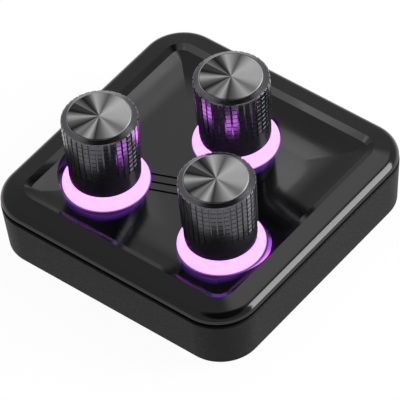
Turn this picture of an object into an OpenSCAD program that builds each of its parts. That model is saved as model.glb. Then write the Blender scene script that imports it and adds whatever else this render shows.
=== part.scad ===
// Desk macro pad: a square housing with three lit, push-and-turn knobs.
// Millimetres. The origin is the middle of the footprint, on the desk.
// +X is to the user's right, +Y is away from the user (the cable side), +Z is up.

/* [Case] */
// Side of the square housing at the seam
side = 60; // [58:0.5:75]
// Corner radius of the housing, seen from above
corner_r = 8.7; // [7.5:0.1:9.5]
// How far each wall leans in between the seam and the underside
draft = 0.7; // [0.3:0.1:1.2]
// Height of the bottom case, underside to top edge
case_h = 10.7; // [10.4:0.1:16]
// Thickness of the bottom case's floor
base_t = 1.4; // [1.2:0.1:1.6]
// Wall of the bottom case, seam side
wall = 2.6; // [2.2:0.1:3]
// Chamfer along the bottom case's top and bottom edges
edge_cut = 0.25; // [0.1:0.05:0.5]
// Height of the shadow gap between case and cover
seam_gap = 1; // [0.4:0.1:1.4]
// Depth of the shadow gap
seam_depth = 1.3; // [0.8:0.1:1.6]

/* [Top cover] */
// Distance from the outer face to the crest of the rim
rim_w = 4.85; // [4.2:0.05:5.2]
// Height of the crest above the cover's lower edge
rim_h = 2.35; // [2:0.05:2.8]
// Outward fall of the rim, in degrees
rim_slope = 12; // [6:1:16]
// Radius of the rim's outer shoulder
shoulder_r = 2.1; // [1.2:0.1:2.4]
// Width of the bevel inside the crest
bevel_w = 1.35; // [1:0.05:1.6]
// Drop of that bevel
bevel_drop = 0.65; // [0.4:0.05:0.8]
// Depth of the dished floor below the foot of the bevel
dish_depth = 1.3; // [1:0.1:1.6]
// Angle of the dish at its edge, in degrees
dish_angle = 16; // [13:1:20]
// Thickness of the cover at the flat of the dish
cover_t = 1.5; // [1.2:0.1:2]
// Width of the three engraved lines
line_w = 0.45; // [0.2:0.05:0.6]
// Depth of the three engraved lines
line_depth = 0.3; // [0.15:0.05:0.5]
// Distance between the engraved lines
line_pitch = 2; // [1:0.1:2.6]
// How far the longest engraved line reaches from the left knob's middle
line_reach = 19.8; // [14:0.1:20]
// How much shorter each line is than the one behind it
line_step = 0.8; // [0:0.1:2]

/* [Knob layout] */
// Distance of the left knob's middle from the left face
left_inset = 16.1; // [15.8:0.05:16.5]
// Distance of the right knob's middle from the right face
right_inset = 15.6; // [15.4:0.05:16.1]
// Distance of the two front knobs' middles from the front face
front_inset = 18.4; // [17.8:0.1:19]
// Distance of the rear knob's middle from the rear face
rear_inset = 18.9; // [18:0.1:19.2]

/* [Knobs] */
// Largest diameter of a knob, at its top rim
knob_d = 15; // [14:0.1:16]
// Height of the knurled shell, lower edge to top rim
knob_h = 14.95; // [14:0.05:18]
// How much smaller the radius is at the lower edge
knob_taper = 0.3; // [0:0.05:0.5]
// Height of the smooth band under the knurling
plain_h = 3.9; // [3:0.1:5]
// Height of the bevel round the top disc
crown = 0.6; // [0.3:0.05:0.8]
// Number of flutes round the shell
flutes = 36; // [24:1:48]
// Width of one flute and of the ring at their foot
flute_w = 0.34; // [0.2:0.02:0.4]
// Depth of the flutes and of the ring at their foot
flute_depth = 0.22; // [0.1:0.02:0.3]
// Diameter of the bright disc on top
cap_d = 12.3; // [11:0.1:12.6]
// Thickness of the bright disc
cap_t = 0.8; // [0.5:0.1:1]
// How far a knob can be pressed
travel = 0.5; // [0.3:0.1:0.7]

/* [Light rings] */
// Outer diameter of a light ring where it shows
ring_d = 17.34; // [16.4:0.02:17.8]
// How far a ring stands above the flat of the dish
ring_proud = 0.3; // [0.1:0.05:0.5]
// Gap between the top of a ring and the knob
ring_gap = 1.9; // [1.4:0.1:2.4]
// Radius on the ring's upper outer edge
ring_edge = 0.5; // [0.2:0.05:0.6]
// Inner diameter of a light ring
ring_bore = 9.2; // [8.4:0.1:10]
// Extra radius of the ring's hidden flange
flange_w = 0.9; // [0.5:0.1:1.1]
// Thickness of the hidden flange
flange_t = 1.4; // [1:0.1:1.6]

/* [Encoders] */
// Width of an encoder, left to right
enc_w = 12.4; // [11.8:0.1:12.8]
// Depth of an encoder, front to rear
enc_d = 11.7; // [11:0.1:12]
// Height of an encoder's body above the board
enc_h = 5.6; // [5.4:0.1:5.9]
// Thickness of the encoder's plastic base
enc_base_t = 1.6; // [1.4:0.1:1.8]
// Diameter of the threaded neck
neck_d = 7; // [6.8:0.1:7.6]
// Height of the neck above the encoder's body
neck_h = 4.5; // [3.5:0.1:4.6]
// Diameter of the shaft
shaft_d = 6; // [5.8:0.1:6.2]
// Depth of the flat on the shaft
shaft_flat = 1; // [0.5:0.1:1.5]

/* [Board] */
// Thickness of the circuit board
board_t = 1.2; // [1:0.1:1.4]
// Gap between the board's edge and the case's wall
board_gap = 1.4; // [1:0.1:2]
// Number of LEDs under each ring
leds_per_ring = 6; // [4:1:6]
// Side of a square LED
led_side = 2; // [1.5:0.1:2.2]

/* [Socket] */
// Width of the socket's metal shell
port_w = 8.94; // [8.5:0.01:9.5]
// Height of the socket's metal shell
port_h = 3.26; // [3:0.01:3.6]
// Depth of the socket's metal shell
port_d = 7.3; // [6.5:0.1:8]

/* [Screws and feet] */
// Diameter of a case screw's shank
screw_d = 2.5; // [2:0.1:2.6]
// Diameter of a rubber foot
foot_d = 9; // [7:0.5:10]
// Thickness of a rubber foot
foot_t = 1.2; // [1.1:0.1:1.4]
// How far a foot stands out of the underside
foot_out = 0.6; // [0.5:0.1:0.8]
// Distance of a foot's middle from the outer faces
foot_inset = 11.5; // [11:0.5:15]

/* [Hidden] */
$fn = 96;

// Clearances
slip = 0.1;      // between moulded pieces that slide together
snug = 0.05;     // round a piece dropped in its seat
turn = 0.03;     // round a shaft that turns
loose = 0.3;     // between pieces that move past each other
far = 100;       // longer than anything here, for cutting

// Heights, from the desk up
case_z0 = foot_out;
case_z1 = case_z0 + case_h;
cover_z0 = case_z1 + seam_gap;
crest_z = cover_z0 + rim_h;
border_z = crest_z - bevel_drop;
floor_z = border_z - dish_depth;
under_z = floor_z - cover_t;
ring_z = floor_z + ring_proud;
enc_z1 = under_z - flange_t;
board_z1 = enc_z1 - enc_h;
board_z0 = board_z1 - board_t;
inside_z = case_z0 + base_t;
knob_z0 = ring_z + ring_gap;
knob_z1 = knob_z0 + knob_h;
cap_z1 = knob_z1 + crown;

// Plan sizes
half = side / 2;
flat = half - corner_r;                 // middle of each corner's arc
cavity = half - wall;                   // inner face of the bottom case
plug = wall + slip;                     // outer face of the cover's locating skirt
skirt_t = 1.2;                          // thickness of that skirt
skirt_drop = 1;                         // how far it reaches below the cover
border_w = rim_w + bevel_w;
dish_r = dish_depth / (1 - cos(dish_angle));
dish_end = half - border_w - dish_r * sin(dish_angle);  // where the dish turns flat
shoulder_z = crest_z - rim_w * tan(rim_slope)
    + shoulder_r * (tan(rim_slope) - 1 / cos(rim_slope));
core_w = 1.8;                           // width of the groove that cores the rim
core_roof = 1.3;                        // cover left above that groove

// Knob places: left, right, rear
places = [
    [left_inset - half, front_inset - half],
    [half - right_inset, front_inset - half],
    [(left_inset - right_inset) / 2, half - rear_inset]
];

// Encoder, inside
shaft_r = shaft_d / 2;
neck_r = neck_d / 2;
enc_roof = 0.9;                         // metal above the rotor chamber
chamber_r = enc_d / 2 - 0.6;
base_z1 = board_z1 + enc_base_t;
chamber_z1 = enc_z1 - enc_roof;
collar_t = 0.5;
rotor_t = 1.2;
rotor_z1 = chamber_z1 - collar_t - travel - slip;
rotor_z0 = rotor_z1 - rotor_t;
pocket_floor = 0.3;
slider_r = shaft_r - shaft_flat - 2 * slip;
slider_z0 = board_z1 + pocket_floor + travel + snug;
slider_z1 = base_z1 + travel + snug;
pin_r = 0.4;
pin_out = 1.15;                         // pins stand this far outside the base
pin_below = 0.6;                        // pins end this far below the board
pin_x = 2.5;
led_t = 0.8;

// Knob, inside
insert_r = 5;
shaft_top = knob_z1 - 3;
insert_z0 = knob_z0 + 1.6;
insert_z1 = shaft_top + 1;
mouth_r = knob_d / 2 - 1.4;             // recess in the knob's lower end
knurl_z0 = knob_z0 + plain_h;
knurl_z1 = knob_z1 - 0.3;

// Socket
port_y1 = half - draft - loose;
port_wall = 0.35;
port_z = board_z1 + port_h / 2;
port_back = 0.5;                        // closed rear end of the socket's shell
tongue_w = port_w - 2.34;
tongue_d = port_d - 1.9;
tongue_t = 0.7;

// Screws and feet
screw_r = screw_d / 2;
head_r = screw_r * 1.8;
head_t = 1.3;
head_sink = 0.4;
boss_r = head_r + 1.1;
boss_top = case_z0 + head_sink + head_t + 1.6;
post_r = screw_r + 1;
screw_at = flat + (corner_r - plug - post_r - loose) / sqrt(2);
foot_at = half - foot_inset;
board_half = cavity - board_gap;
board_corner = 3;
board_screw_r = 1;
board_screw_bite = 0.6;                 // how far those screws reach into the case's floor
pillar_wall = 1.3;                      // case plastic round each of those screws
rear_screw_x = screw_at - boss_r + 0.6; // rear pair: beside the corner bosses
rear_screw_y = screw_at - boss_r - 2.4;
front_screw_x = half - left_inset - 1.9; // front pair: in front of the two front encoders
front_screw_y = board_half - 2.6;
board_screws_at = [[-rear_screw_x, rear_screw_y], [rear_screw_x, rear_screw_y],
    [-front_screw_x, -front_screw_y], [front_screw_x, -front_screw_y]];

// Parts on the board, placed from its edges
chip_side = 7;
chip_t = 0.85;
chip_x = board_half - 8.5;
chip_y = board_half - 18;
crystal = [3.2, 2.5, 0.7];
crystal_y = board_half - 11.6;
regulator = [3, 3, 1.1];
regulator_x = board_half - 9.5;
regulator_y = board_half - 14;
fuse = [2.6, 1.4, 0.9];
small_part = [1.6, 0.8, 0.5];
small_pitch = 2.4;

// ---------- shared shapes ----------

// Square with round corners: half-size h, corner radius r
module round_square(h, r) {
    square([2 * h, 2 * (h - r)], center = true);
    square([2 * (h - r), 2 * h], center = true);
    for (x = [-1, 1], y = [-1, 1]) translate([x * (h - r), y * (h - r)]) circle(r);
}

module round_block(h, r, z0, z1) {
    translate([0, 0, z0]) linear_extrude(z1 - z0) round_square(h, r);
}

// Carries a section round the housing. In the section, x runs inwards from the
// outer face to the middle of the housing and y is the height.
module round_the_side() {
    for (a = [0, 90]) rotate(a) translate([0, flat, 0]) rotate([90, 0, 0]) linear_extrude(2 * flat)
        for (m = [0, 1]) mirror([m, 0]) translate([-half, 0]) children();
    for (a = [0 : 90 : 270]) rotate(a) translate([flat, flat, 0]) intersection() {
        rotate_extrude() intersection() {
            translate([corner_r, 0]) mirror([1, 0]) children();
            square([corner_r + 1, far]);
        }
        cube(far);
    }
}

module rod(r, z0, z1) {
    translate([0, 0, z0]) cylinder(r = r, h = z1 - z0);
}

module slab(x, y, z0, z1) {
    translate([-x / 2, -y / 2, z0]) cube([x, y, z1 - z0]);
}

// Round shaft with one flat on its +X side
module d_rod(r, flat_at, z0, z1) {
    intersection() {
        rod(r, z0, z1);
        translate([-far, -far, z0 - 1]) cube([far + flat_at, 2 * far, z1 - z0 + 2]);
    }
}

module at_corners(d) {
    for (x = [-1, 1], y = [-1, 1]) translate([x * d, y * d, 0]) children();
}

module at_knob(i) {
    translate([places[i][0], places[i][1], 0]) children();
}

// ---------- housing ----------

// Section of the bottom case's outer wall: leaning face, chamfered edges, and
// the tongue that the cover stands on
module case_section() {
    polygon([
        [draft + edge_cut, case_z0],
        [draft, case_z0 + edge_cut],
        [0, case_z1 - edge_cut],
        [edge_cut, case_z1],
        [seam_depth, case_z1],
        [seam_depth, cover_z0],
        [wall, cover_z0],
        [wall, inside_z],
        [half, inside_z],
        [half, case_z0]
    ]);
}

module bottom_case() {
    color("#303033") difference() {
        union() {
            round_the_side() case_section();
            at_corners(screw_at) rod(boss_r, case_z0 + base_t / 2, boss_top);
            for (p = board_screws_at) translate(p)
                rod(board_screw_r + pillar_wall, case_z0 + base_t / 2, board_z0);
        }
        // screws and feet from below
        at_corners(screw_at) {
            rod(head_r + slip, case_z0 - 1, case_z0 + head_sink + head_t);
            rod(screw_r + slip, case_z0, boss_top + 1);
        }
        at_corners(foot_at) rod(foot_d / 2 + snug, case_z0 - 1, foot_t);
        for (p = board_screws_at) translate(p)
            rod(board_screw_r + snug, inside_z - board_screw_bite - 0.2, board_z0 + 1);
        // mouth of the socket
        translate([0, half + 1, 0]) rotate([90, 0, 0]) linear_extrude(wall + draft + 2)
            stadium(port_w + 2 * loose, port_h + 2 * loose);
    }
}

// Flat-sided oval, centred on the socket's height
module stadium(w, h) {
    translate([0, port_z]) {
        square([w - h, h], center = true);
        for (x = [-1, 1]) translate([x * (w - h) / 2, 0]) circle(h / 2);
    }
}

// Section of the cover: shoulder, sloping rim, bevel, dish and skirt. The flat of
// the dish is left low here, because a slab of its own fills it.
module cover_section() {
    low = (floor_z + under_z) / 2;
    difference() {
        union() {
            translate([shoulder_r, shoulder_z]) circle(shoulder_r);
            polygon([
                [shoulder_r, under_z],
                [shoulder_r, shoulder_z],
                [shoulder_r * (1 - sin(rim_slope)), shoulder_z + shoulder_r * cos(rim_slope)],
                [rim_w, crest_z],
                [border_w, border_z],
                [half - dish_end, border_z],
                [half - dish_end, low],
                [half, low],
                [half, under_z]
            ]);
            translate([plug, under_z - skirt_drop]) square([skirt_t, skirt_drop + 1]);
        }
        translate([-1, cover_z0 - far]) square([1 + plug, far]);
        translate([plug + skirt_t, under_z - far]) square([half, far]);
        translate([plug + skirt_t, under_z - 1]) square([core_w, crest_z - core_roof - under_z + 1]);
        intersection() {
            translate([half - dish_end, floor_z + dish_r]) circle(dish_r, $fn = 180);
            translate([border_w, floor_z - 1]) square([half - border_w, far]);
        }
    }
}

// Three plain lines engraved from the left ring's seat towards the middle
module engraved_lines() {
    line_angle = 21.5;
    start = ring_d / 2 - 1;
    at_knob(0) rotate(line_angle) for (i = [0 : 2])
        translate([start, (i - 0.25) * line_pitch - line_w / 2, floor_z - line_depth])
            cube([line_reach - (2 - i) * line_step - start, line_w, far]);
}

module top_cover() {
    color("#1b1b1e") difference() {
        union() {
            round_the_side() cover_section();
            slab(2 * dish_end, 2 * dish_end, under_z, floor_z);
            at_corners(screw_at) rod(post_r, boss_top, under_z + 0.5);
        }
        at_corners(screw_at) rod(screw_r + snug, boss_top - 1, under_z - 1);
        for (i = [0 : 2]) at_knob(i) {
            rod(ring_d / 2 + snug, under_z - skirt_drop - 1, far);
            // countersink that frees the ring where the dish rises round it
            translate([0, 0, ring_z - ring_edge / 2])
                cylinder(r1 = ring_d / 2 + snug, r2 = ring_d / 2 + snug + 2, h = 2);
        }
        engraved_lines();
    }
}

module rubber_feet() {
    color("#232325") at_corners(foot_at) difference() {
        rod(foot_d / 2, 0, foot_t);
        translate([0, 0, -1]) rotate_extrude() translate([foot_d / 2 - 1.6, 0]) square([0.6, 1.25]);
    }
}

module case_screws() {
    color("#9a9a9e") at_corners(screw_at) difference() {
        union() {
            rod(head_r, case_z0 + head_sink, case_z0 + head_sink + head_t);
            rod(screw_r, case_z0 + head_sink, board_z1 + 2);
        }
        rod(screw_r * 0.6, case_z0, case_z0 + head_sink + 0.7, $fn = 6);
    }
}

// ---------- electronics ----------

module circuit_board() {
    color("#16241c") difference() {
        round_block(board_half, board_corner, board_z0, board_z1);
        at_corners(screw_at) rod(boss_r + loose, board_z0 - 1, board_z1 + 1);
        for (p = board_screws_at) translate(p) rod(board_screw_r + slip, board_z0 - 1, board_z1 + 1);
        for (i = [0 : 2]) at_knob(i) at_pins() rod(pin_r + slip, board_z0 - 1, board_z1 + 1);
    }
}

module main_chip() {
    mark_at = chip_side / 2 - 0.9;
    color("#0e0e10") translate([-chip_x, chip_y, 0]) difference() {
        slab(chip_side, chip_side, board_z1, board_z1 + chip_t);
        translate([-mark_at, mark_at, 0]) rod(0.35, board_z1 + chip_t - 0.1, board_z1 + chip_t + 1);
    }
}

// Crystal, regulator and the row of small parts near the socket
module board_parts() {
    color("#8d8577") {
        on_board(-chip_x, crystal_y, crystal);
        on_board(regulator_x, regulator_y, regulator);
        on_board(port_w / 2 + fuse[0] + fuse[1], port_y1 - port_d + fuse[1], fuse);
        for (i = [0 : 3]) {
            on_board(-chip_x - chip_side / 2 - small_part[0], chip_y + (i - 1.5) * small_pitch, small_part);
            on_board(regulator_x + (i - 1) * small_pitch, regulator_y - 2 * small_pitch, small_part, 90);
        }
    }
}

module on_board(x, y, size, turned = 0) {
    translate([x, y, 0]) rotate(turned) slab(size[0], size[1], board_z1, board_z1 + size[2]);
}

module usb_shell() {
    color("#b9bcc0") {
        difference() {
            port_body(port_w, port_h, port_y1 - port_d, port_y1);
            port_body(port_w - 2 * port_wall, port_h - 2 * port_wall, port_y1 - port_d + port_back, port_y1 + 1);
        }
    }
}

module port_body(w, h, y0, y1) {
    translate([0, y1, 0]) rotate([90, 0, 0]) linear_extrude(y1 - y0) stadium(w, h);
}

module usb_tongue() {
    color("#141416") translate([-tongue_w / 2, port_y1 - port_d + port_back, port_z - tongue_t / 2])
        cube([tongue_w, tongue_d, tongue_t]);
}

module board_screws() {
    color("#a8a8ac") for (p = board_screws_at) translate(p) difference() {
        union() {
            rod(board_screw_r, inside_z - board_screw_bite, board_z1);
            rod(board_screw_r + 0.9, board_z1, board_z1 + 1);
        }
        rod(0.7, board_z1 + 0.5, board_z1 + 2, $fn = 6);
    }
}

module leds(i) {
    color("#e9d9f2") at_knob(i) for (k = [0 : leds_per_ring - 1]) rotate(k * 360 / leds_per_ring)
        translate([ring_d / 2 + 0.35, 0, 0]) slab(led_side, led_side, board_z1, board_z1 + led_t);
}

// ---------- encoders ----------

module at_pins() {
    for (x = [-pin_x, 0, pin_x]) translate([x, -enc_d / 2 - pin_out, 0]) children();
    for (x = [-pin_x, pin_x]) translate([x, enc_d / 2 + pin_out, 0]) children();
}

module encoder_pins() {
    color("#c9b27a") for (i = [0 : 2]) at_knob(i) {
        at_pins() rod(pin_r, board_z0 - pin_below, board_z1 + 1);
        for (x = [-pin_x, 0, pin_x]) pin_bar(x, -1);
        for (x = [-pin_x, pin_x]) pin_bar(x, 1);
    }
}

// Flat strip that carries a pin out of the base, on the side s
module pin_bar(x, s) {
    translate([x - pin_r, s > 0 ? enc_d / 2 : -enc_d / 2 - pin_out, board_z1 + 0.6])
        cube([2 * pin_r, pin_out, 0.4]);
}

module encoder_base(i) {
    color("#26262a") at_knob(i) difference() {
        slab(enc_w, enc_d, board_z1, base_z1);
        rod(slider_r + loose, board_z1 + pocket_floor, far);
    }
}

module encoder_housing(i) {
    color("#a9abb0") at_knob(i) difference() {
        union() {
            slab(enc_w, enc_d, base_z1, enc_z1);
            rod(neck_r, enc_z1 - 0.2, enc_z1 + neck_h - 0.4);
            translate([0, 0, enc_z1 + neck_h - 0.4]) cylinder(r1 = neck_r, r2 = neck_r - 0.3, h = 0.4);
        }
        rod(chamber_r, base_z1 - 1, chamber_z1);
        rod(shaft_r + turn, base_z1, far);
    }
}

// Code wheel: the shaft's flat turns it while the shaft slides through
module encoder_rotor(i) {
    color("#d8cfc0") at_knob(i) difference() {
        union() {
            rod(chamber_r - 0.5, rotor_z0, rotor_z1);
            rod(chamber_r - 1.2, base_z1, rotor_z1);
        }
        d_rod(shaft_r + snug, shaft_r - shaft_flat + snug, base_z1 - 1, far);
    }
}

// Small plastic piston that the shaft's end presses onto the switch
module push_slider(i) {
    color("#e8e6e0") at_knob(i) rod(slider_r, slider_z0, slider_z1);
}

module encoder_shaft(i) {
    color("#b5b7ba") at_knob(i) union() {
        d_rod(shaft_r, shaft_r - shaft_flat, slider_z1, chamber_z1 - collar_t);
        rod(shaft_r + 0.8, chamber_z1 - collar_t, chamber_z1);
        rod(shaft_r, chamber_z1, insert_z0 - 0.3);
        d_rod(shaft_r, shaft_r - shaft_flat, insert_z0 - 0.3, shaft_top - 0.4);
        intersection() {
            d_rod(shaft_r, shaft_r - shaft_flat, shaft_top - 0.4, shaft_top);
            translate([0, 0, shaft_top - 0.4]) cylinder(r1 = shaft_r, r2 = shaft_r - 0.4, h = 0.4);
        }
    }
}

// ---------- light rings ----------

module light_ring(i) {
    r = ring_d / 2;
    color("#f3c6ff") at_knob(i) rotate_extrude() difference() {
        union() {
            translate([ring_bore / 2, enc_z1]) square([r + flange_w - ring_bore / 2, flange_t]);
            translate([ring_bore / 2, under_z]) square([r - ring_bore / 2, ring_z - ring_edge - under_z]);
            translate([ring_bore / 2, under_z]) square([r - ring_edge - ring_bore / 2, ring_z - under_z]);
            translate([r - ring_edge, ring_z - ring_edge]) circle(ring_edge, $fn = 48);
        }
    }
}

// ---------- knobs ----------

// Radius of the shell at height z
function shell_r(z) = knob_d / 2 - knob_taper * (knob_z1 - z) / knob_h;

module shell_section() {
    lip = 0.5;
    difference() {
        union() {
            polygon([
                [0, knob_z0],
                [shell_r(knob_z0) - lip, knob_z0],
                [shell_r(knob_z0 + lip), knob_z0 + lip],
                [knob_d / 2, knob_z1],
                [cap_d / 2 + 0.1, cap_z1 - 0.1],
                [0, cap_z1 - 0.1]
            ]);
            translate([shell_r(knob_z0 + lip) - lip, knob_z0 + lip]) circle(lip, $fn = 48);
        }
        translate([0, cap_z1 - cap_t]) square([cap_d / 2 + snug, far]);
        translate([0, knob_z0 - 1]) square([insert_r + snug, insert_z1 - knob_z0 + 1]);
        translate([0, knob_z0 - 1]) square([mouth_r, insert_z0 - knob_z0 + 1]);
        // ring where the knurling starts
        translate([shell_r(knurl_z0) - flute_depth, knurl_z0 - flute_w / 2]) square([1, flute_w]);
    }
}

module knob_shell(i) {
    color("#2c2c30") at_knob(i) difference() {
        rotate_extrude() shell_section();
        for (k = [0 : flutes - 1]) rotate((k + 0.5) * 360 / flutes)
            translate([shell_r(knurl_z0) - flute_depth, -flute_w / 2, knurl_z0])
                cube([2, flute_w, knurl_z1 - knurl_z0]);
    }
}

module knob_insert(i) {
    color("#1d1d20") at_knob(i) difference() {
        rod(insert_r, insert_z0, insert_z1);
        d_rod(shaft_r + snug / 2, shaft_r - shaft_flat + snug / 2, insert_z0 - 1, shaft_top);
    }
}

module knob_cap(i) {
    color("#d6d7d9") at_knob(i) union() {
        rod(cap_d / 2, cap_z1 - cap_t, cap_z1 - 0.1);
        translate([0, 0, cap_z1 - 0.1]) cylinder(r1 = cap_d / 2, r2 = cap_d / 2 - 0.1, h = 0.1);
    }
}

// ---------- nodes ----------

bottom_case();
top_cover();
circuit_board();
main_chip();
board_parts();
usb_shell();
usb_tongue();
case_screws();
board_screws();
rubber_feet();
encoder_pins();
leds(0);  // leds_left
leds(1);  // leds_right
leds(2);  // leds_rear
light_ring(0);  // light_ring_left
light_ring(1);  // light_ring_right
light_ring(2);  // light_ring_rear
encoder_base(0);  // encoder_base_left
encoder_base(1);  // encoder_base_right
encoder_base(2);  // encoder_base_rear
encoder_housing(0);  // encoder_housing_left
encoder_housing(1);  // encoder_housing_right
encoder_housing(2);  // encoder_housing_rear
encoder_rotor(0);  // encoder_rotor_left
encoder_rotor(1);  // encoder_rotor_right
encoder_rotor(2);  // encoder_rotor_rear
push_slider(0);  // push_slider_left
push_slider(1);  // push_slider_right
push_slider(2);  // push_slider_rear
encoder_shaft(0);  // encoder_shaft_left
encoder_shaft(1);  // encoder_shaft_right
encoder_shaft(2);  // encoder_shaft_rear
knob_insert(0);  // knob_insert_left
knob_insert(1);  // knob_insert_right
knob_insert(2);  // knob_insert_rear
knob_shell(0);  // knob_shell_left
knob_shell(1);  // knob_shell_right
knob_shell(2);  // knob_shell_rear
knob_cap(0);  // knob_cap_left
knob_cap(1);  // knob_cap_right
knob_cap(2);  // knob_cap_rear
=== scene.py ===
# %% [markdown]
# # A desk macro pad with three lit knobs
# The solid parts come in as a fixed frame, already in their real places and in metres. This file
# only dresses them: it gives every part its finish, cuts the fine knurling that the frame leaves
# plain, lights the pad and sets the camera.

# %% Load the frame
import bpy
import bmesh
import math
from mathutils import Matrix, Vector


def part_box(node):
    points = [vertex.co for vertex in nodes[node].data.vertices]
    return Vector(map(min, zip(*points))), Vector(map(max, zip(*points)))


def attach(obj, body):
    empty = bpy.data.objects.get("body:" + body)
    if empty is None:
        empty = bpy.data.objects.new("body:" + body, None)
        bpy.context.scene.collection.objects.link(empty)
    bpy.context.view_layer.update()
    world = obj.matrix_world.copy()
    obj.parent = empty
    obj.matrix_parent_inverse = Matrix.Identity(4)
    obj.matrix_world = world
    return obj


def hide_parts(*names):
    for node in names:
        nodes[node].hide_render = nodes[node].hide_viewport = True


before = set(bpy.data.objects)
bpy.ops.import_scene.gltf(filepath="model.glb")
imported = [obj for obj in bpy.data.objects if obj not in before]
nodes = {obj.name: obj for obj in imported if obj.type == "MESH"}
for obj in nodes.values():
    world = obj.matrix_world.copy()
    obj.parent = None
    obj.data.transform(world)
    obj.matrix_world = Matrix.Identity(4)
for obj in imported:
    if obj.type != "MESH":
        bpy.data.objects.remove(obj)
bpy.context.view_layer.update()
MM = 0.001
SIDES = ("left", "right", "rear")

# %% [markdown]
# ## Where the knobs stand
# Several finishes and the knurling are centred on a knob's axis. The three places could be typed
# in, but they would be wrong as soon as the frame changed. The frame can give the lowest and
# highest corner of any part, and the middle of a round disc's box lies on its axis.

# %% Find the axes
def middle_of(node):
    low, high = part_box(node)
    return (low + high) / 2


knob_at = {side: middle_of("knob_cap_" + side) for side in SIDES}
shell_low, shell_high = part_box("knob_shell_left")
print("knobs in mm:", {s: (round(p.x / MM, 2), round(p.y / MM, 2)) for s, p in knob_at.items()})

# %% [markdown]
# ## Helpers
# Colour charts give colours as hex numbers in sRGB, but a shader wants linear light, so one
# function turns the one into the other. A node could be added in four or five lines each time. One
# function does it in one: it sets the node's fields, plugs in its inputs and sets the colour stops
# of a ramp. Each finish below then reads as a list of what it is made of.

# %% Colour from a hex number
def linear(hex_code):
    parts = [int(hex_code[i:i + 2], 16) / 255 for i in (1, 3, 5)]
    return tuple(c / 12.92 if c <= 0.04045 else ((c + 0.055) / 1.055) ** 2.4
                 for c in parts) + (1.0,)


WHITE = (1.0, 1.0, 1.0, 1.0)
print("#808080 is", round(linear("#808080")[0], 3), "in linear light")

# %% Nodes, materials and objects
def add(tree, kind, inputs=None, stops=(), **fields):
    node = tree.nodes.new(kind)
    for name, value in fields.items():
        setattr(node, name, value)
    for key, value in (inputs or {}).items():
        socket = node.inputs[key]
        if isinstance(value, bpy.types.NodeSocket):
            tree.links.new(value, socket)
        else:
            socket.default_value = value
    if stops:
        elements = node.color_ramp.elements
        while len(elements) > 1:
            elements.remove(elements[-1])
        elements[0].position, elements[0].color = stops[0]
        for position, colour in stops[1:]:
            elements.new(position).color = colour
    return node


def new_material(name):
    material = bpy.data.materials.new(name)
    material.use_nodes = True
    material.node_tree.nodes.clear()
    return material, material.node_tree


def put_in_scene(name, data):
    obj = bpy.data.objects.new(name, data)
    bpy.context.scene.collection.objects.link(obj)
    return obj


print("helpers ready in Blender", bpy.app.version_string)

# %% [markdown]
# ## Moulded plastics and rubber
# Moulded plastic is never one flat tone. The mould is spark-eroded, which leaves a fine, even
# grain, and the colour drifts slightly where the melt flowed. A picture of such a surface would
# need its sides unfolded and would repeat. A noise reads the place in the part itself, so it runs
# on over every edge: one at the grain's size drives bump and roughness, and a slow one the colour.

# %% Moulded finish
FLOW_MM = 14                      # the colour drifts over about this length
NOISE_LOW, NOISE_HIGH = 0.3, 0.7  # nearly all of a noise lies between these
ROUGH_SPREAD = 0.08


def moulded(name, dark, light, rough, grain_mm, depth_mm, ior=1.5):
    material, tree = new_material(name)
    place = add(tree, "ShaderNodeTexCoord").outputs["Object"]
    drift = add(tree, "ShaderNodeTexNoise", {
        "Vector": place, "Scale": 1 / (FLOW_MM * MM), "Detail": 2.0}).outputs["Fac"]
    grain = add(tree, "ShaderNodeTexNoise", {
        "Vector": place, "Scale": 1 / (grain_mm * MM), "Detail": 3.0}).outputs["Fac"]
    tone = add(tree, "ShaderNodeValToRGB", {"Fac": drift}, stops=[
        (NOISE_LOW, linear(dark)), (NOISE_HIGH, linear(light))])
    shine = add(tree, "ShaderNodeMapRange", {
        "Value": grain, "From Min": NOISE_LOW, "From Max": NOISE_HIGH,
        "To Min": rough - ROUGH_SPREAD, "To Max": rough + ROUGH_SPREAD})
    bump = add(tree, "ShaderNodeBump", {
        "Height": grain, "Distance": depth_mm * MM, "Strength": 1.0})
    skin = add(tree, "ShaderNodeBsdfPrincipled", {
        "Base Color": tone.outputs["Color"], "Roughness": shine.outputs["Result"],
        "Normal": bump.outputs["Normal"], "IOR": ior})
    add(tree, "ShaderNodeOutputMaterial", {"Surface": skin.outputs[0]})
    return material


# Grains are in mm. Real spark grain is about 0.1 mm, and is drawn coarser here so that it shows.
# ABS tray, spark-eroded: dull black with a faint sheen, because the grain scatters most of it
case_abs = moulded("spark_eroded_abs", "#0F0F10", "#131314", 0.55, 0.35, 0.012, ior=1.25)
# Glass-filled nylon: harder black, slightly greyer where fibres reach the skin
filled_nylon = moulded("glass_filled_nylon", "#161618", "#1E1E21", 0.45, 0.5, 0.01)
# Chip mould compound: fine sandy black
mould_compound = moulded("epoxy_mould_compound", "#151517", "#1B1B1D", 0.6, 0.15, 0.008)
# Natural acetal: waxy off-white
natural_acetal = moulded("natural_acetal", "#E4E0D6", "#EEEAE0", 0.35, 0.8, 0.004)
# Foot rubber: soft black with a bloom of grey
foot_rubber = moulded("soft_black_rubber", "#17171A", "#222226", 0.75, 0.3, 0.02)
# Solder mask over laminate: dark green, the copper shows as slow tone changes
solder_mask = moulded("solder_mask_laminate", "#0F2A1C", "#16392A", 0.35, 1.2, 0.01)
# Ceramic bodies of the small parts: a fired, sandy tan
ceramic = moulded("sintered_ceramic", "#8A7A60", "#A08E70", 0.5, 0.2, 0.006)
print("moulded finishes:", ", ".join(m.name for m in (
    case_abs, filled_nylon, mould_compound, natural_acetal, foot_rubber, solder_mask, ceramic)))

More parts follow.
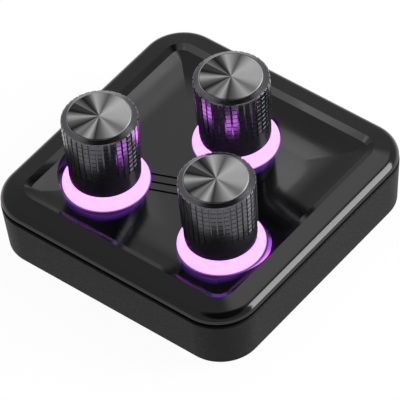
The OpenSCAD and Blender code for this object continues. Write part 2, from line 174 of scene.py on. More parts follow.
# %% [markdown]
# ## Polished black cover
# The cover is ABS out of a polished mould. Its own colour is almost nothing; what the eye reads is
# the room mirrored in it. A clear coat over a dull base could give that too, but the real cover
# has no lacquer, so it is one smooth plastic: a near black base and very low roughness. A faint
# cloudy change in roughness and a fine ripple keep it from looking like glass.

# %% Cover finish
CLOUD_MM = 9                         # polishing leaves the mould hazier in patches of this size
RIPPLE_MM, RIPPLE_DEEP = 0.4, 0.0006  # width and depth of the ripple
CORE_LOW, CORE_HIGH = 0.35, 0.65     # the middle of a noise, for stronger patches
GLOSS = (0.10, 0.14)                 # roughness, from clear to hazy
cover_gloss, tree = new_material("polished_black_abs")
place = add(tree, "ShaderNodeTexCoord").outputs["Object"]
cloud = add(tree, "ShaderNodeTexNoise", {
    "Vector": place, "Scale": 1 / (CLOUD_MM * MM), "Detail": 3.0}).outputs["Fac"]
peel = add(tree, "ShaderNodeTexNoise", {
    "Vector": place, "Scale": 1 / (RIPPLE_MM * MM), "Detail": 1.0}).outputs["Fac"]
ripple = add(tree, "ShaderNodeBump", {
    "Height": peel, "Distance": RIPPLE_DEEP * MM, "Strength": 1.0})
haze = add(tree, "ShaderNodeMapRange", {
    "Value": cloud, "From Min": CORE_LOW, "From Max": CORE_HIGH,
    "To Min": GLOSS[0], "To Max": GLOSS[1]})
flow = add(tree, "ShaderNodeValToRGB", {"Fac": cloud}, stops=[
    (NOISE_LOW, linear("#08080A")), (NOISE_HIGH, linear("#0D0D0F"))])
skin = add(tree, "ShaderNodeBsdfPrincipled", {
    "Base Color": flow.outputs["Color"], "Roughness": haze.outputs["Result"],
    "Normal": ripple.outputs["Normal"], "IOR": 1.5})
add(tree, "ShaderNodeOutputMaterial", {"Surface": skin.outputs[0]})
print("made", cover_gloss.name, "with roughness", GLOSS[0], "to", GLOSS[1])

# %% [markdown]
# ## Plated and turned metals
# Sheet and screws are plated steel: bright, but with rolling lines. Shafts are turned, which
# leaves rings round the axis. Separate line patterns could draw both, but real lines are uneven,
# so both are one noise that is stretched: along the sheet for rolling lines, and squeezed along
# the axis for turning marks.

# %% Metal finish
LINE_MM = 0.5           # real lines are under 0.1 mm apart, drawn coarser so that they show
METAL_SPREAD = 0.07


def drawn_metal(name, dark, light, rough, stretch, depth_mm):
    material, tree = new_material(name)
    place = add(tree, "ShaderNodeTexCoord").outputs["Object"]
    lines = add(tree, "ShaderNodeMapping", {"Vector": place, "Scale": stretch})
    grain = add(tree, "ShaderNodeTexNoise", {
        "Vector": lines.outputs["Vector"], "Scale": 1 / (LINE_MM * MM),
        "Detail": 3.0}).outputs["Fac"]
    tone = add(tree, "ShaderNodeValToRGB", {"Fac": grain}, stops=[
        (CORE_LOW, linear(dark)), (CORE_HIGH, linear(light))])
    shine = add(tree, "ShaderNodeMapRange", {
        "Value": grain, "From Min": NOISE_LOW, "From Max": NOISE_HIGH,
        "To Min": rough - METAL_SPREAD, "To Max": rough + METAL_SPREAD})
    bump = add(tree, "ShaderNodeBump", {
        "Height": grain, "Distance": depth_mm * MM, "Strength": 1.0})
    skin = add(tree, "ShaderNodeBsdfPrincipled", {
        "Base Color": tone.outputs["Color"], "Metallic": 1.0,
        "Roughness": shine.outputs["Result"], "Normal": bump.outputs["Normal"]})
    add(tree, "ShaderNodeOutputMaterial", {"Surface": skin.outputs[0]})
    return material


# Nickel-plated sheet: a warm, pale grey with long rolling lines
nickel_sheet = drawn_metal("nickel_plated_sheet", "#A9AAAC", "#C4C5C8", 0.3,
                           (0.2, 3.0, 1.0), 0.002)
# Zinc-plated screws: bluer and duller than nickel
zinc_screw = drawn_metal("zinc_plated_steel", "#8E9094", "#B4B6BA", 0.35, (1.0, 1.0, 3.0), 0.003)
# Turned aluminium shaft: bright, with rings from the tool
turned_alu = drawn_metal("turned_aluminium", "#A8A9AB", "#C8C9CB", 0.3, (0.4, 0.4, 6.0), 0.002)
# Tinned brass pins: silver with the brass warming it
tinned_brass = drawn_metal("tinned_brass", "#B8A98C", "#D6CDB8", 0.3, (1.0, 1.0, 2.0), 0.002)
print("metal finishes:", ", ".join(m.name for m in (
    nickel_sheet, zinc_screw, turned_alu, tinned_brass)))

# %% [markdown]
# ## Black anodised knob shell
# The shell is turned aluminium, dyed black as it was anodised: a dark metal that still mirrors
# the light ring and the cover in each flat little pad. Black plastic would mirror too weakly for
# that, so this is a metal with a dark colour. A painted highlight lies along the top rim, where
# the pads' edges catch the light: there the colour is lighter and the metal full, blended by
# height.

# %% Knob shell finish
RIM_HIGHLIGHT_MM = (0.62, 0.54)  # how far below the top the painted rim highlight fades in
LATHE_MM, LATHE_DEEP = 0.6, 0.001    # turning marks, drawn coarse so that they show
LATHE_STRETCH = (0.5, 0.5, 5.0)      # stretched round the knob and squeezed along it
DYED_ROUGH = (0.16, 0.22)
DYED_METAL = 0.85                    # the anodising hides a little of the metal, and none under the painted rim highlight
black_anodised, tree = new_material("black_anodised_aluminium")
place = add(tree, "ShaderNodeTexCoord").outputs["Object"]
lathe = add(tree, "ShaderNodeMapping", {"Vector": place, "Scale": LATHE_STRETCH})
marks = add(tree, "ShaderNodeTexNoise", {
    "Vector": lathe.outputs["Vector"], "Scale": 1 / (LATHE_MM * MM),
    "Detail": 3.0}).outputs["Fac"]
height = add(tree, "ShaderNodeSeparateXYZ", {"Vector": place}).outputs["Z"]
# painted highlight: the top rim is made lighter and fully metal, by height
rim_highlight = add(tree, "ShaderNodeMapRange", {
    "Value": height, "From Min": shell_high.z - RIM_HIGHLIGHT_MM[0] * MM,
    "From Max": shell_high.z - RIM_HIGHLIGHT_MM[1] * MM}).outputs["Result"]
side_dye = add(tree, "ShaderNodeValToRGB", {"Fac": marks}, stops=[
    (NOISE_LOW, linear("#525256")), (NOISE_HIGH, linear("#606064"))])
rim_highlight_tone = add(tree, "ShaderNodeValToRGB", {"Fac": marks}, stops=[
    (NOISE_LOW, linear("#6E6E72")), (NOISE_HIGH, linear("#7C7C80"))])
dye_and_highlight = add(tree, "ShaderNodeMix", {
    "Factor": rim_highlight, "A": side_dye.outputs["Color"], "B": rim_highlight_tone.outputs["Color"]},
    data_type="RGBA")
shine = add(tree, "ShaderNodeMapRange", {
    "Value": marks, "From Min": NOISE_LOW, "From Max": NOISE_HIGH,
    "To Min": DYED_ROUGH[0], "To Max": DYED_ROUGH[1]})
bump = add(tree, "ShaderNodeBump", {
    "Height": marks, "Distance": LATHE_DEEP * MM, "Strength": 1.0})
highlighted = add(tree, "ShaderNodeMapRange", {"Value": rim_highlight, "To Min": DYED_METAL, "To Max": 1.0})
skin = add(tree, "ShaderNodeBsdfPrincipled", {
    "Base Color": dye_and_highlight.outputs["Result"], "Metallic": highlighted.outputs["Result"],
    "Roughness": shine.outputs["Result"], "Normal": bump.outputs["Normal"]})
add(tree, "ShaderNodeOutputMaterial", {"Surface": skin.outputs[0]})
print("made", black_anodised.name, "with the rim bare above",
      round(shell_high.z / MM - RIM_HIGHLIGHT_MM[1], 2), "mm")

# %% [markdown]
# ## Turned disc
# The bright disc is faced on a lathe, so its grain runs in circles. Light catches such a grain in
# wedges that meet in the middle. A shader with strong anisotropy alone gives two soft wedges; a
# real disc shows a fan of them, because the tool chatters and the face is slightly dished. So the
# wedges are painted highlights, put into the colour by angle round the disc's own middle, and fine
# rings lie over them. Each knob has its own copy of the finish, because each has its own middle.

# %% Place and distance from a knob's axis
def round_axis(tree, side):
    at = knob_at[side]
    place = add(tree, "ShaderNodeTexCoord").outputs["Object"]
    centred = add(tree, "ShaderNodeMapping", {
        "Vector": place, "Location": (-at.x, -at.y, 0.0)}).outputs["Vector"]
    flat = add(tree, "ShaderNodeVectorMath", {0: centred, 1: (1.0, 1.0, 0.0)},
               operation="MULTIPLY")
    radius = add(tree, "ShaderNodeVectorMath", {0: flat.outputs["Vector"]}, operation="LENGTH")
    return centred, radius.outputs["Value"]


# %% Disc finish
HIGHLIGHT_WEDGES = [  # angle round the disc in degrees, tone of the painted highlight
    (0, 0.20), (12, 0.38), (25, 0.46), (80, 0.43), (92, 0.32), (110, 0.09), (122, 0.24),
    (138, 0.46), (150, 0.08), (162, 0.01), (178, 0.20), (192, 0.05), (202, 0.01), (218, 0.46),
    (232, 0.14), (250, 0.01), (262, 0.19), (274, 0.12), (288, 0.40), (300, 0.03), (316, 0.14),
    (338, 0.42), (352, 0.20)]
# rings of a finishing cut, which is really about 0.05 mm, drawn coarser so that it shows close up
CUT_MM, CUT_DEEP = 0.1, 0.0008


def turned_disc(side):
    material, tree = new_material("lathe_faced_aluminium_" + side)
    centred, radius = round_axis(tree, side)
    axis = add(tree, "ShaderNodeSeparateXYZ", {"Vector": centred})
    angle = add(tree, "ShaderNodeMath", {0: axis.outputs["Y"], 1: axis.outputs["X"]},
                operation="ARCTAN2")
    turn = add(tree, "ShaderNodeMapRange", {
        "Value": angle.outputs[0], "From Min": -math.pi, "From Max": math.pi})
    # painted highlights: the wedges of light are drawn into the base colour by angle
    painted_highlight = add(tree, "ShaderNodeValToRGB", {"Fac": turn.outputs["Result"]}, stops=sorted(
        (((a + 180) % 360) / 360, (tone, tone, tone, 1.0)) for a, tone in HIGHLIGHT_WEDGES))
    ring = add(tree, "ShaderNodeMath", {0: radius, 1: 2 * math.pi / (CUT_MM * MM)},
               operation="MULTIPLY")
    wave = add(tree, "ShaderNodeMath", {0: ring.outputs[0]}, operation="SINE")
    bump = add(tree, "ShaderNodeBump", {
        "Height": wave.outputs[0], "Distance": CUT_DEEP * MM, "Strength": 1.0})
    grain = add(tree, "ShaderNodeTangent", axis="Z")
    skin = add(tree, "ShaderNodeBsdfPrincipled", {
        "Base Color": painted_highlight.outputs["Color"], "Metallic": 1.0, "Roughness": 0.5,
        "Normal": bump.outputs["Normal"], "Anisotropic": 0.5,
        "Tangent": grain.outputs["Tangent"]})
    add(tree, "ShaderNodeOutputMaterial", {"Surface": skin.outputs[0]})
    return material


disc_finish = {side: turned_disc(side) for side in SIDES}
print("disc finishes:", len(disc_finish), "with", len(HIGHLIGHT_WEDGES), "stops each")

# %% [markdown]
# ## Light rings
# Each ring is milky acrylic over a circle of LEDs. Its flat top glows evenly, and its rounded
# outer edge falls off to violet, since less light leaves it sideways. A real scattering shader
# with lamps under it would be slow and grainy at this size, so the surface itself gives the light,
# in a colour that follows the distance from the knob's axis.

# %% Ring glow
CROWN_MM = (7.6, 8.67)  # the glow falls off between these radii, where the edge rounds off


def diffuser(side):
    material, tree = new_material("lit_milky_acrylic_" + side)
    radius = round_axis(tree, side)[1]
    crown = add(tree, "ShaderNodeMapRange", {
        "Value": radius, "From Min": CROWN_MM[0] * MM, "From Max": CROWN_MM[1] * MM})
    glow = add(tree, "ShaderNodeValToRGB", {"Fac": crown.outputs["Result"]}, stops=[
        (0.0, linear("#B84CEE")), (0.62, linear("#B84CEE")), (0.8, linear("#7A4C96")),
        (0.9, linear("#3A2A40")), (1.0, linear("#20112C"))])
    skin = add(tree, "ShaderNodeBsdfPrincipled", {
        "Base Color": linear("#5A4A66"), "Roughness": 0.4,
        "Emission Color": glow.outputs["Color"], "Emission Strength": 8.0})
    add(tree, "ShaderNodeOutputMaterial", {"Surface": skin.outputs[0]})
    return material


ring_finish = {side: diffuser(side) for side in SIDES}
print("ring finishes:", len(ring_finish))

# %% [markdown]
# ## LED lenses
# Under each ring sit small LEDs with a resin lens. Only their light is ever seen, so a glass
# shader would be wasted: the resin is a smooth, faintly glowing surface, specked where the
# phosphor settled.

# %% LED finish
SPECK_MM = 0.3
led_lens, tree = new_material("led_resin")
place = add(tree, "ShaderNodeTexCoord").outputs["Object"]
speck = add(tree, "ShaderNodeTexNoise", {"Vector": place, "Scale": 1 / (SPECK_MM * MM)})
phosphor = add(tree, "ShaderNodeValToRGB", {"Fac": speck.outputs["Fac"]}, stops=[
    (NOISE_LOW, linear("#D9C8F2")), (NOISE_HIGH, linear("#F0E2FF"))]).outputs["Color"]
skin = add(tree, "ShaderNodeBsdfPrincipled", {
    "Base Color": phosphor, "Roughness": 0.2, "Emission Color": phosphor,
    "Emission Strength": 1.5})
add(tree, "ShaderNodeOutputMaterial", {"Surface": skin.outputs[0]})
print("made", led_lens.name)

# %% [markdown]
# ## Give every part its finish
# The frame's parts come with plain colours. Each name is paired with its finish in one table
# rather than part by part, so that a part without one stops the script with its name.

# %% Finish of each part
finish_of = {
    "bottom_case": case_abs, "top_cover": cover_gloss, "circuit_board": solder_mask,
    "main_chip": mould_compound, "board_parts": ceramic, "usb_shell": nickel_sheet,
    "usb_tongue": filled_nylon, "case_screws": zinc_screw, "board_screws": zinc_screw,
    "rubber_feet": foot_rubber, "encoder_pins": tinned_brass}
for side in SIDES:
    finish_of.update({
        "leds_" + side: led_lens, "light_ring_" + side: ring_finish[side],
        "encoder_base_" + side: filled_nylon, "encoder_housing_" + side: nickel_sheet,
        "encoder_rotor_" + side: natural_acetal, "push_slider_" + side: natural_acetal,
        "encoder_shaft_" + side: turned_alu, "knob_insert_" + side: filled_nylon,
        "knob_shell_" + side: black_anodised, "knob_cap_" + side: disc_finish[side]})
for name, obj in nodes.items():
    obj.data.materials.clear()
    obj.data.materials.append(finish_of[name])
print("finishes given to", len(nodes), "parts")

# %% [markdown]
# ## Knurled shell
# The grip is cut twice: flutes down the side, then rings across them, which leaves rows of small
# flat pads. Each pad is a separate little mirror, and that is what makes the grip sparkle. A bump
# pattern can't do that at the knob's outline, and cutting the grooves out of a solid is slow. So
# one pad is modelled, and Geometry Nodes sets it round a plain core in rows and columns.

# %% Sizes of the grip, in millimetres
COLUMNS, ROWS = 36, 9
TOP_R = (shell_high.x - shell_low.x) / 2 / MM
LOW_Z = shell_low.z / MM
RIM_HEIGHT = 14.95     # from the foot to the top of the pads
RIM_Z = LOW_Z + RIM_HEIGHT
GRIP_LOW = LOW_Z + 4.3  # a plain band is left under the pads
TAPER = 0.3 / RIM_HEIGHT  # the knob is 0.3 mm slimmer in radius at its foot
ROOT = 0.24            # how far the pads stand out from the grooves
row_pitch = (RIM_Z - GRIP_LOW) / ROWS
column_pitch = 2 * math.pi * TOP_R / COLUMNS
print("pads are", round(column_pitch, 2), "by", round(row_pitch, 2), "mm apart")

# %% [markdown]
# ## One pad
# A pad is a flat face with chamfered edges. It leans back a little, as the tool's tip leaves it,
# and its back is sunk in the core so that no gap shows. A scaled cube with a bevel has 26 faces;
# three rings of four corners give the same form with ten, which counts when it is repeated.

# %% Pad
GROOVE_ROUND, GROOVE_UP = 0.34, 0.16  # width of the grooves between columns and rows, mm
CHAMFER = 0.04
SUNK = 0.3
LEAN = math.radians(2)


def pad_mesh(width, height):
    bm = bmesh.new()
    rings = []
    for x, inset in ((-SUNK, 0.0), (ROOT - CHAMFER, 0.0), (ROOT, CHAMFER)):
        w, h = width / 2 - inset, height / 2 - inset
        slope = math.tan(LEAN) if x > 0 else 0.0
        rings.append([bm.verts.new(((x - slope * z) * MM, y * MM, z * MM))
                      for y, z in ((-w, -h), (w, -h), (w, h), (-w, h))])
    for low, high in zip(rings, rings[1:]):
        for i in range(4):
            bm.faces.new((low[i], low[(i + 1) % 4], high[(i + 1) % 4], high[i]))
    bm.faces.new(rings[-1])
    bm.faces.new(list(reversed(rings[0])))
    bmesh.ops.recalc_face_normals(bm, faces=bm.faces)
    mesh = bpy.data.meshes.new("pad")
    bm.to_mesh(mesh)
    bm.free()
    return mesh


pad_size = (column_pitch - GROOVE_ROUND, row_pitch - GROOVE_UP)
print("a pad is", [round(x, 2) for x in pad_size], "mm")

# %% [markdown]
# ## The tree that sets pads round the shell
# Points on a line are numbered, and the number gives each its column and row. The column turns
# it round the axis, the row lifts it, and the taper moves it out. A pad is then set on each point,
# facing outwards. An array modifier could repeat one row, but it can't follow the taper.

# %% Grip tree
GRIP_INPUTS = (
    ("Pad", "NodeSocketGeometry"), ("Columns", "NodeSocketInt"), ("Rows", "NodeSocketInt"),
    ("Root radius", "NodeSocketFloat"), ("Taper", "NodeSocketFloat"),
    ("Turn", "NodeSocketFloat"), ("First row", "NodeSocketFloat"),
    ("Row pitch", "NodeSocketFloat"), ("Centre", "NodeSocketVector"),
    ("Finish", "NodeSocketMaterial"))


def grip_tree():
    tree = bpy.data.node_groups.new("knurled_grip", "GeometryNodeTree")
    for label, kind in GRIP_INPUTS:
        tree.interface.new_socket(label, in_out="INPUT", socket_type=kind)
    tree.interface.new_socket("Geometry", in_out="OUTPUT", socket_type="NodeSocketGeometry")
    given = add(tree, "NodeGroupInput").outputs
    count = add(tree, "ShaderNodeMath", {0: given["Columns"], 1: given["Rows"]},
                operation="MULTIPLY")
    line = add(tree, "GeometryNodeMeshLine", {"Count": count.outputs[0]})
    index = add(tree, "GeometryNodeInputIndex").outputs["Index"]
    column = add(tree, "ShaderNodeMath", {0: index, 1: given["Columns"]}, operation="MODULO")
    over = add(tree, "ShaderNodeMath", {0: index, 1: given["Columns"]}, operation="DIVIDE")
    row = add(tree, "ShaderNodeMath", {0: over.outputs[0]}, operation="FLOOR")
    step = add(tree, "ShaderNodeMath", {0: 2 * math.pi, 1: given["Columns"]},
               operation="DIVIDE")
    angle = add(tree, "ShaderNodeMath", {
        0: column.outputs[0], 1: step.outputs[0], 2: given["Turn"]}, operation="MULTIPLY_ADD")
    rise = add(tree, "ShaderNodeMath", {
        0: row.outputs[0], 1: given["Row pitch"], 2: given["First row"]},
        operation="MULTIPLY_ADD")
    radius = add(tree, "ShaderNodeMath", {
        0: rise.outputs[0], 1: given["Taper"], 2: given["Root radius"]},
        operation="MULTIPLY_ADD")
    out = add(tree, "ShaderNodeCombineXYZ", {"X": radius.outputs[0], "Z": rise.outputs[0]})
    turned = add(tree, "ShaderNodeVectorRotate", {
        "Vector": out.outputs[0], "Angle": angle.outputs[0]}, rotation_type="Z_AXIS")
    spot = add(tree, "ShaderNodeVectorMath", {0: turned.outputs[0], 1: given["Centre"]},
               operation="ADD")
    placed = add(tree, "GeometryNodeSetPosition", {
        "Geometry": line.outputs["Mesh"], "Position": spot.outputs[0]})
    facing = add(tree, "ShaderNodeCombineXYZ", {"Z": angle.outputs[0]})
    pads = add(tree, "GeometryNodeInstanceOnPoints", {
        "Points": placed.outputs["Geometry"], "Instance": given["Pad"],
        "Rotation": facing.outputs[0]})
    real = add(tree, "GeometryNodeRealizeInstances", {"Geometry": pads.outputs["Instances"]})
    done = add(tree, "GeometryNodeSetMaterial", {
        "Geometry": real.outputs["Geometry"], "Material": given["Finish"]})
    add(tree, "NodeGroupOutput", {"Geometry": done.outputs["Geometry"]})
    return tree


knurled_grip = grip_tree()
print("grip tree has", len(knurled_grip.nodes), "nodes")

# %% [markdown]
# A modifier keeps a tree's inputs under short identifiers, so a helper looks each one up by its
# label. The result could stay live, but a plain mesh is safer to join and to export.

# %% Fill in a tree's inputs, and make its result a plain mesh
def set_input(modifier, label, value):
    for item in modifier.node_group.interface.items_tree:
        if item.item_type == "SOCKET" and item.in_out == "INPUT" and item.name == label:
            modifier[item.identifier] = value


def baked(obj, name):
    depsgraph = bpy.context.evaluated_depsgraph_get()
    mesh = bpy.data.meshes.new_from_object(obj.evaluated_get(depsgraph))
    mesh.name = name
    obj.modifiers.clear()
    bpy.data.objects.remove(obj)
    return mesh


print("inputs of the grip:", ", ".join(label for label, kind in GRIP_INPUTS))

# %% [markdown]
# ## Core of the shell
# The core is a lathe shape: its outline is turned round the axis. A Screw modifier would turn it
# too, but a ring of corners for each outline point gives closed, clean seams at once. The outline
# starts inside the lower mouth, goes round the rolled lower edge, up the plain band and the roots
# of the grooves, over the rim and down into the recess that holds the disc.

# %% Turn an outline round an axis
STEPS_ROUND = 144  # four for each column of pads, so that the core follows them


def turned_mesh(name, outline, centre):
    bm = bmesh.new()
    turns = [2 * math.pi * i / STEPS_ROUND for i in range(STEPS_ROUND)]
    rings = [[bm.verts.new((centre.x + r * MM * math.cos(t), centre.y + r * MM * math.sin(t),
                            z * MM)) for t in turns] for r, z in outline]
    for low, high in zip(rings, rings[1:] + rings[:1]):
        for i in range(STEPS_ROUND):
            j = (i + 1) % STEPS_ROUND
            bm.faces.new((low[i], low[j], high[j], high[i]))
    bmesh.ops.recalc_face_normals(bm, faces=bm.faces)
    for face in bm.faces:
        face.smooth = True
    mesh = bpy.data.meshes.new(name)
    bm.to_mesh(mesh)
    bm.free()
    return mesh


def rolled_edge(radius, z, roll, steps=6):
    return [(radius - roll + roll * math.sin(a), z + roll - roll * math.cos(a))
            for a in (math.pi / 2 * i / steps for i in range(steps + 1))]


def root_radius(z):
    return TOP_R - TAPER * (RIM_Z - z) - ROOT


print("core has", STEPS_ROUND, "steps round, or", round(2 * math.pi * TOP_R / STEPS_ROUND, 2),
      "mm each")

# %% Outline of the core, radius and height in millimetres
BORE_R = 5.1                     # the dark insert fills the shell inside this
MOUTH_R, MOUTH_EDGE_R = 6.1, 6.2  # a shallow mouth round the insert, its edge chamfered
MOUTH_Z = LOW_Z + 1.6
FOOT_R, FOOT_ROLL = 7.2, 0.5
BAND_Z = LOW_Z + 1.4             # the rolled foot runs into the plain band here
BAND_PROUD = 0.12                # the band stands out from the grooves, but less than the pads
BAND_END_Z, BAND_END_PROUD = GRIP_LOW - 0.5, 0.04  # it slopes down to the grooves above this
EASE = 0.05                      # the rim's outer edge is eased by this
RIM_TOP_Z = RIM_Z + 0.5          # the rim slopes up to here, next to the disc
CAP_R, CAP_EDGE = 6.2, 0.12      # the disc's recess, and the flat of its edge
SEAT_Z = RIM_Z - 0.2             # the disc sits on this
shell_outline = (
    [(BORE_R, MOUTH_Z), (MOUTH_R, MOUTH_Z), (MOUTH_R, LOW_Z + 0.1), (MOUTH_EDGE_R, LOW_Z)]
    + rolled_edge(FOOT_R, LOW_Z, FOOT_ROLL)
    + [(root_radius(BAND_Z) + BAND_PROUD, BAND_Z),
       (root_radius(GRIP_LOW) + BAND_END_PROUD, BAND_END_Z), (root_radius(GRIP_LOW), GRIP_LOW),
       (TOP_R - ROOT, RIM_Z - EASE), (TOP_R - ROOT - EASE, RIM_Z + EASE),
       (CAP_R + CAP_EDGE, RIM_TOP_Z), (CAP_R, RIM_Z + 0.48), (CAP_R, SEAT_Z), (BORE_R, SEAT_Z)])
print("outline of", len(shell_outline), "points, from", round(LOW_Z, 2), "to",
      round(RIM_TOP_Z, 2), "mm")

# %% [markdown]
# ## The three shells
# Each shell is a core and its pads in one mesh, and takes the place of the frame's plain shell, so
# it rides on the same body and turns with its knob. The pads could stay a piece of their own, but
# the real grip is cut from one bar. Each knob rests at the click it was left in, so its columns
# start at another angle. Edges sharper than 30 degrees stay crisp, and the lathe form is smooth.

# %% Make the shells
PAD_TURN = {"left": math.radians(-2.3), "right": math.radians(2), "rear": math.radians(2)}
CRISP_FROM = math.radians(30)


def make_shell(side):
    centre = knob_at[side]
    core = turned_mesh("shell_core", shell_outline, centre)
    core.materials.append(black_anodised)
    holder = put_in_scene("grip_" + side, pad_mesh(*pad_size))
    grip = holder.modifiers.new("knurling", "NODES")
    grip.node_group = knurled_grip
    first = GRIP_LOW + row_pitch / 2
    for label, value in (("Columns", COLUMNS), ("Rows", ROWS), ("Taper", TAPER),
                         ("Turn", PAD_TURN[side]),
                         ("Root radius", (TOP_R - TAPER * RIM_Z - ROOT) * MM),
                         ("First row", first * MM), ("Row pitch", row_pitch * MM),
                         ("Centre", (centre.x, centre.y, 0.0)), ("Finish", black_anodised)):
        set_input(grip, label, value)
    bm = bmesh.new()
    bm.from_mesh(core)
    bm.from_mesh(baked(holder, "pads"))
    shell = bpy.data.meshes.new("knurled_shell_" + side)
    bm.to_mesh(shell)
    bm.free()
    shell.materials.append(black_anodised)
    obj = put_in_scene("knurled_shell_" + side, shell)
    shell.set_sharp_from_angle(angle=CRISP_FROM)
    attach(obj, "knob_" + side)
    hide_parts("knob_shell_" + side)
    return obj


shells = [make_shell(side) for side in SIDES]
print("shells:", [len(o.data.polygons) for o in shells], "faces")

# %% [markdown]
# ## Floor
# The pad stands on white paper in a studio. Paper bright enough to look white would need strong
# lamps, and they would wash out the pad. So every ray that looks straight at it or sees it
# mirrored finds nearly pure white, and the small rest is real paper, which keeps the soft shadow.

# %% White floor
FLOOR_M = 2.0        # from the middle to each side
SEEN_WHITE = 0.92    # share of plain white in what is seen
WHITE_STRENGTH = 1.04  # a little over 1, so that the share of paper doesn't grey it
floor_mesh = bpy.data.meshes.new("floor")
floor_mesh.from_pydata([(x * FLOOR_M, y * FLOOR_M, 0) for x, y in (
    (-1, -1), (1, -1), (1, 1), (-1, 1))], [], [(0, 1, 2, 3)])
floor = put_in_scene("floor", floor_mesh)
floor_paper, tree = new_material("white_paper_floor")
rays = add(tree, "ShaderNodeLightPath").outputs
paper = add(tree, "ShaderNodeBsdfDiffuse", {"Color": linear("#E6E6E6")})
white = add(tree, "ShaderNodeEmission", {"Color": WHITE, "Strength": WHITE_STRENGTH})
mirrored = add(tree, "ShaderNodeMath", {
    0: rays["Is Glossy Ray"], 1: rays["Is Transmission Ray"]}, operation="MAXIMUM")
direct = add(tree, "ShaderNodeMath", {0: rays["Is Camera Ray"], 1: mirrored.outputs[0]},
             operation="MAXIMUM")
seen = add(tree, "ShaderNodeMath", {0: direct.outputs[0], 1: SEEN_WHITE}, operation="MULTIPLY")
sheet = add(tree, "ShaderNodeMixShader", {
    0: seen.outputs[0], 1: paper.outputs[0], 2: white.outputs[0]})
add(tree, "ShaderNodeOutputMaterial", {"Surface": sheet.outputs[0]})
floor_mesh.materials.append(floor_paper)
print("floor is", 2 * FLOOR_M, "m square")

# %% [markdown]
# ## Room light
# Gloss black shows only what it mirrors, so the room matters more than the lamps. A real studio
# has a white sweep that ends just over the horizon, grey walls, and soft panels. Modelled walls
# would throw shadows and stand in other views, so the room is a world that changes with
# direction: white low down, grey above, with soft round patches that are brighter or darker.

# %% World
HORIZON_SINE = 0.06  # the white sweep fades out up to this sine of the elevation
WALL = 0.44          # brightness of the walls, where 1 is white
world = bpy.data.worlds.new("studio")
bpy.context.scene.world = world
world.use_nodes = True
sky = world.node_tree
sky.nodes.clear()
look = add(sky, "ShaderNodeTexCoord").outputs["Generated"]  # in a world, the direction looked in


def towards(azimuth, elevation):
    a, e = math.radians(azimuth), math.radians(elevation)
    return (math.cos(a) * math.cos(e), math.sin(a) * math.cos(e), math.sin(e))


def soft_patch(total, azimuth, elevation, inner, outer, strength):
    cosine = add(sky, "ShaderNodeVectorMath", {0: look, 1: towards(azimuth, elevation)},
                 operation="DOT_PRODUCT")
    fade = add(sky, "ShaderNodeMapRange", {
        "Value": cosine.outputs["Value"], "From Min": math.cos(math.radians(outer)),
        "From Max": math.cos(math.radians(inner)), "To Max": strength},
        interpolation_type="SMOOTHSTEP")
    return add(sky, "ShaderNodeMath", {0: total, 1: fade.outputs["Result"]},
               operation="ADD").outputs[0]


height = add(sky, "ShaderNodeSeparateXYZ", {"Vector": look}).outputs["Z"]
glow = add(sky, "ShaderNodeMapRange", {
    "Value": height, "From Min": 0.0, "From Max": HORIZON_SINE, "To Min": 1.0, "To Max": WALL},
    interpolation_type="SMOOTHSTEP").outputs["Result"]
# azimuth and elevation, the angles where a patch starts and ends to fade, and its strength
for patch in ((98, 60, 8, 17, 1.0),       # rear panel: the light band along the dish's left side
              (126, 46, 3, 18, 0.52),     # rear left panel: fills the flat of the dish
              (325, 66, 24, 42, -0.42)):  # black cloth in front: keeps the knob rims dark
    glow = soft_patch(glow, *patch)
room = add(sky, "ShaderNodeBackground", {"Color": WHITE, "Strength": glow})
add(sky, "ShaderNodeOutputWorld", {"Surface": room.outputs[0]})
print("room of", len(sky.nodes), "nodes")

# %% [markdown]
# ## Soft boxes
# A tall soft box on the right draws the white strip along the cover's shoulder. Each other light
# band in the gloss needs a panel of its own, since every slope mirrors another part of the room.
# Large panels further off would show in the neighbouring slopes as well, so these are narrow and
# stand close over the pad, and the camera doesn't see them.

# %% Soft boxes
# A box is given by the point that mirrors it, the azimuth and elevation of its two ends as seen
# from there, its distance and width in metres, and the brightness of its face.
def soft_box(name, aimed_at, low_end, high_end, distance, width, radiance):
    low, high = Vector(towards(*low_end)), Vector(towards(*high_end))
    away = (low + high).normalized()
    across = (high - low).cross(away).normalized()
    light = bpy.data.lights.new(name, "AREA")
    light.shape = "RECTANGLE"
    light.size, light.size_y = width, 2 * distance * math.tan(low.angle(high) / 2)
    light.energy = radiance * math.pi * light.size * light.size_y
    obj = put_in_scene(name, light)
    turn = Matrix((across, away.cross(across), away)).transposed().to_4x4()
    obj.matrix_world = Matrix.Translation(Vector(aimed_at) * MM + away * distance) @ turn
    print(name, "size in m", round(light.size, 3), round(light.size_y, 3))
    return obj


soft_box("right_soft_box", (0, 0, 14), (30, 0), (47, 46), 0.6, 0.24, 7.5)
for bar in (
        ("rear_band_bar", (0, 24.5, 14.3), (263, 73), (196, 43), 0.07, 0.010, 1.0),
        ("rear_right_corner_bar", (19.6, 20.7, 14.2), (198, 52), (180, 38), 0.07, 0.010, 0.4),
        ("rear_left_corner_bar", (-23.5, 23.5, 14.3), (250, 74), (15, 64), 0.07, 0.014, 1.0),
        ("left_side_panel", (-23, 13, 14), (90, 52), (90, 64), 0.07, 0.015, 1.2)):
    soft_box(*bar).visible_camera = False

# %% [markdown]
# ## Light from the rings
# The rings throw violet light down on the cover and up at the knobs. Their own glow does both,
# but a ring that lights a dark gloss needs many samples to come out clean. Round lamps hidden
# from the camera give the same light at once: two under each knob for the pool of violet at its
# foot, and one on the ring that shines upwards, since a ring is brighter from above.

# %% Ring lamps
VIOLET, PINK_WHITE = "#8F4CFF", "#FFC8C0"
RING_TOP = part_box("light_ring_left")[1].z / MM


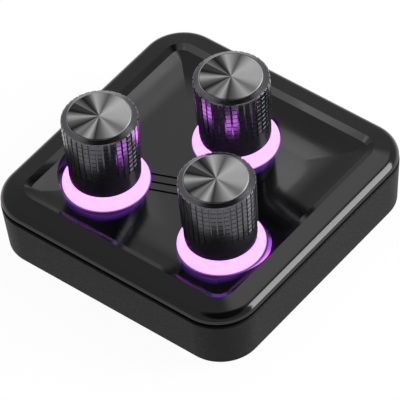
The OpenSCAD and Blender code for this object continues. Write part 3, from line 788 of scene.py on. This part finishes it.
def ring_lamp(name, side, radius, height, radiance, colour, spread, facing_up=False):
    light = bpy.data.lights.new(name + side, "AREA")
    light.shape = "DISK"
    light.size = 2 * radius * MM
    light.color = linear(colour)[:3]
    light.spread = math.radians(spread)
    light.energy = radiance * math.pi * math.pi * (radius * MM) ** 2
    obj = put_in_scene(name + side, light)
    obj.location = (knob_at[side].x, knob_at[side].y, height * MM)
    obj.rotation_euler.x = math.pi if facing_up else 0.0
    obj.visible_camera = False


for side in SIDES:
    # radius and height in mm, brightness of the face, colour, spread in degrees
    ring_lamp("spill_", side, 7.5, LOW_Z + 0.1, 3.0, VIOLET, 145)
    ring_lamp("spill_edge_", side, 7.9, LOW_Z + 0.3, 1.5, VIOLET, 145)
    ring_lamp("ring_top_", side, 8.3, RING_TOP + 0.02, 2.2, PINK_WHITE, 150, facing_up=True)
print("ring tops at", round(RING_TOP, 2), "mm")

# %% [markdown]
# ## Camera
# The pad is seen from its front right corner, from well above. Close by with a wide lens, the
# square's sides would run together; a long lens from 0.85 m keeps them almost parallel. A camera
# that tracks a target stands level, but this one is tipped by five degrees, so its three axes are
# built by hand.

# %% Camera
AIM_MM = (3.798, -4.852, 11.85)
AZIMUTH, ELEVATION, ROLL = (math.radians(a) for a in (41.909, 47.176, -5.075))
DISTANCE_M = 0.8502
LENS_MM, SENSOR_MM = 398.2, 36
back = Vector((math.sin(AZIMUTH) * math.cos(ELEVATION), -math.cos(AZIMUTH) * math.cos(ELEVATION),
               math.sin(ELEVATION)))
right = Vector((math.cos(AZIMUTH), math.sin(AZIMUTH), 0))
up = back.cross(right)
cam_x = right * math.cos(ROLL) + up * math.sin(ROLL)
cam_y = up * math.cos(ROLL) - right * math.sin(ROLL)
camera_data = bpy.data.cameras.new("camera")
camera_data.lens, camera_data.sensor_width = LENS_MM, SENSOR_MM
camera_data.clip_start, camera_data.clip_end = 0.05, 20
camera = put_in_scene("camera", camera_data)
camera.matrix_world = (Matrix.Translation(Vector(AIM_MM) * MM + back * DISTANCE_M)
                       @ Matrix((cam_x, cam_y, back)).transposed().to_4x4())
bpy.context.scene.camera = camera
bpy.context.scene.view_settings.view_transform = "Standard"
print("camera at", [round(x, 3) for x in camera.matrix_world.translation], "m")
